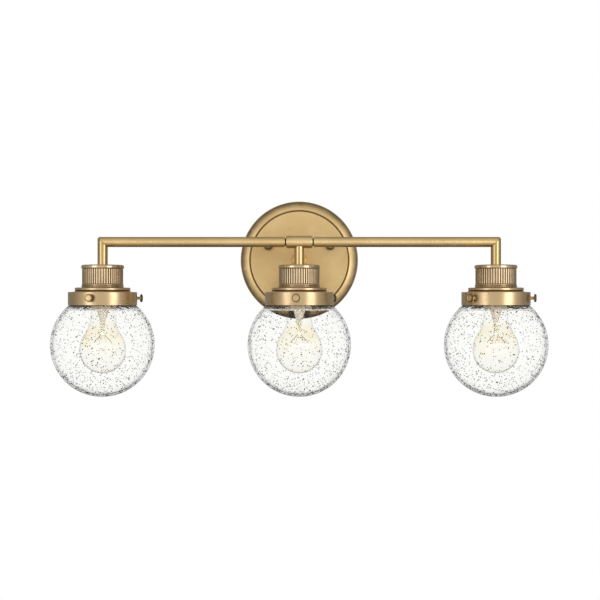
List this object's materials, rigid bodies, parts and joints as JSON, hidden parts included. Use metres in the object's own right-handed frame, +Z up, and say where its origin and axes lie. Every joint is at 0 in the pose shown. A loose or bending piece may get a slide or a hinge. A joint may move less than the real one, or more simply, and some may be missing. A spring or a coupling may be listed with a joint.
{
  "type": "vanity light bar",
  "caption": "Wall vanity light: round canopy, short arm and straight tube bar carrying hanging fluted socket cups, each with a clear lamp in a seeded glass globe.",
  "frame": {"origin": "centre of the round canopy in the wall plane", "axes": "+X to the right along the bar for someone facing the wall, +Y into the wall, +Z up; the light stands out towards -Y"},
  "size_m": [0.6096, 0.1705, 0.2471],
  "materials": {
    "aged_brass": "satin, brushed, lightly aged lacquered brass",
    "bright_brass": "plain drawn brass",
    "zinc_steel": "zinc plated, dull",
    "green_screw": "green dyed",
    "porcelain": "glazed, warm white",
    "seeded_glass": "clear blown glass with seed bubbles",
    "lamp_glass": "clear, thin",
    "filament": "glass stem with a glowing filament"
  },
  "bodies": {
    "root": {"mounting_plate": "zinc_steel", "canopy": "aged_brass", "canopy_boss": "aged_brass", "canopy_nipple": "zinc_steel", "canopy_nipple_nut": "zinc_steel", "arm_tube": "aged_brass", "ground_screw": "green_screw", "canopy_stud_left": "zinc_steel", "canopy_stud_right": "zinc_steel", "tee_fitting": "aged_brass", "stem_middle": "aged_brass", "bar_tube_left": "aged_brass", "bar_nipple_left": "zinc_steel", "stem_left": "aged_brass", "bar_tube_right": "aged_brass", "bar_nipple_right": "zinc_steel", "stem_right": "aged_brass", "stem_nipple_left": "zinc_steel", "cup_left": "aged_brass", "shade_holder_left": "aged_brass", "socket_body_left": "porcelain", "socket_shell_left": "bright_brass", "socket_contact_left": "bright_brass", "stem_nipple_middle": "zinc_steel", "cup_middle": "aged_brass", "shade_holder_middle": "aged_brass", "socket_body_middle": "porcelain", "socket_shell_middle": "bright_brass", "socket_contact_middle": "bright_brass", "stem_nipple_right": "zinc_steel", "cup_right": "aged_brass", "shade_holder_right": "aged_brass", "socket_body_right": "porcelain", "socket_shell_right": "bright_brass", "socket_contact_right": "bright_brass"},
    "thumb_screw_left_a": {"thumb_screw_left_a": "aged_brass"},
    "thumb_screw_left_b": {"thumb_screw_left_b": "aged_brass"},
    "thumb_screw_left_c": {"thumb_screw_left_c": "aged_brass"},
    "bulb_left": {"bulb_base_left": "bright_brass", "bulb_glass_left": "lamp_glass", "bulb_mount_left": "filament"},
    "globe_left": {"globe_left": "seeded_glass"},
    "thumb_screw_middle_a": {"thumb_screw_middle_a": "aged_brass"},
    "thumb_screw_middle_b": {"thumb_screw_middle_b": "aged_brass"},
    "thumb_screw_middle_c": {"thumb_screw_middle_c": "aged_brass"},
    "bulb_middle": {"bulb_base_middle": "bright_brass", "bulb_glass_middle": "lamp_glass", "bulb_mount_middle": "filament"},
    "globe_middle": {"globe_middle": "seeded_glass"},
    "thumb_screw_right_a": {"thumb_screw_right_a": "aged_brass"},
    "thumb_screw_right_b": {"thumb_screw_right_b": "aged_brass"},
    "thumb_screw_right_c": {"thumb_screw_right_c": "aged_brass"},
    "bulb_right": {"bulb_base_right": "bright_brass", "bulb_glass_right": "lamp_glass", "bulb_mount_right": "filament"},
    "globe_right": {"globe_right": "seeded_glass"},
    "cap_nut_left": {"cap_nut_left": "aged_brass"},
    "cap_nut_right": {"cap_nut_right": "aged_brass"}
  },
  "joints": [
    {"name": "thumb_screw_left_a_travel", "type": "slide", "parent": "root", "child": "thumb_screw_left_a", "axis": [-0.1908, -0.9816, 0], "range_m": [0, 0.0028]},
    {"name": "thumb_screw_left_b_travel", "type": "slide", "parent": "root", "child": "thumb_screw_left_b", "axis": [0.9455, 0.3256, 0], "range_m": [0, 0.0028]},
    {"name": "thumb_screw_left_c_travel", "type": "slide", "parent": "root", "child": "thumb_screw_left_c", "axis": [-0.7547, 0.6561, 0], "range_m": [0, 0.0028]},
    {"name": "bulb_left_unscrew", "type": "hinge", "parent": "root", "child": "bulb_left", "pos_m": [-0.2413, -0.107, -0.051], "axis": [0, 0, -1], "range_deg": [0, 1800]},
    {"name": "globe_left_drop", "type": "slide", "parent": "root", "child": "globe_left", "axis": [0, 0, -1], "range_m": [0, 0.1]},
    {"name": "thumb_screw_middle_a_travel", "type": "slide", "parent": "root", "child": "thumb_screw_middle_a", "axis": [-0.0872, -0.9962, 0], "range_m": [0, 0.0028]},
    {"name": "thumb_screw_middle_b_travel", "type": "slide", "parent": "root", "child": "thumb_screw_middle_b", "axis": [0.9063, 0.4226, 0], "range_m": [0, 0.0028]},
    {"name": "thumb_screw_middle_c_travel", "type": "slide", "parent": "root", "child": "thumb_screw_middle_c", "axis": [-0.8192, 0.5736, 0], "range_m": [0, 0.0028]},
    {"name": "bulb_middle_unscrew", "type": "hinge", "parent": "root", "child": "bulb_middle", "pos_m": [0, -0.107, -0.051], "axis": [0, 0, -1], "range_deg": [0, 1800]},
    {"name": "globe_middle_drop", "type": "slide", "parent": "root", "child": "globe_middle", "axis": [0, 0, -1], "range_m": [0, 0.1]},
    {"name": "thumb_screw_right_a_travel", "type": "slide", "parent": "root", "child": "thumb_screw_right_a", "axis": [-0.7547, -0.6561, 0], "range_m": [0, 0.0028]},
    {"name": "thumb_screw_right_b_travel", "type": "slide", "parent": "root", "child": "thumb_screw_right_b", "axis": [0.9455, -0.3256, 0], "range_m": [0, 0.0028]},
    {"name": "thumb_screw_right_c_travel", "type": "slide", "parent": "root", "child": "thumb_screw_right_c", "axis": [-0.1908, 0.9816, 0], "range_m": [0, 0.0028]},
    {"name": "bulb_right_unscrew", "type": "hinge", "parent": "root", "child": "bulb_right", "pos_m": [0.2413, -0.107, -0.051], "axis": [0, 0, -1], "range_deg": [0, 1800]},
    {"name": "globe_right_drop", "type": "slide", "parent": "root", "child": "globe_right", "axis": [0, 0, -1], "range_m": [0, 0.1]},
    {"name": "cap_nut_left_turn", "type": "hinge", "parent": "root", "child": "cap_nut_left", "pos_m": [-0.04, -0.025, 0.0192], "axis": [0, -1, 0], "range_deg": [0, 2880]},
    {"name": "cap_nut_right_turn", "type": "hinge", "parent": "root", "child": "cap_nut_right", "pos_m": [0.04, -0.025, 0.0192], "axis": [0, -1, 0], "range_deg": [0, 2880]}
  ]
}
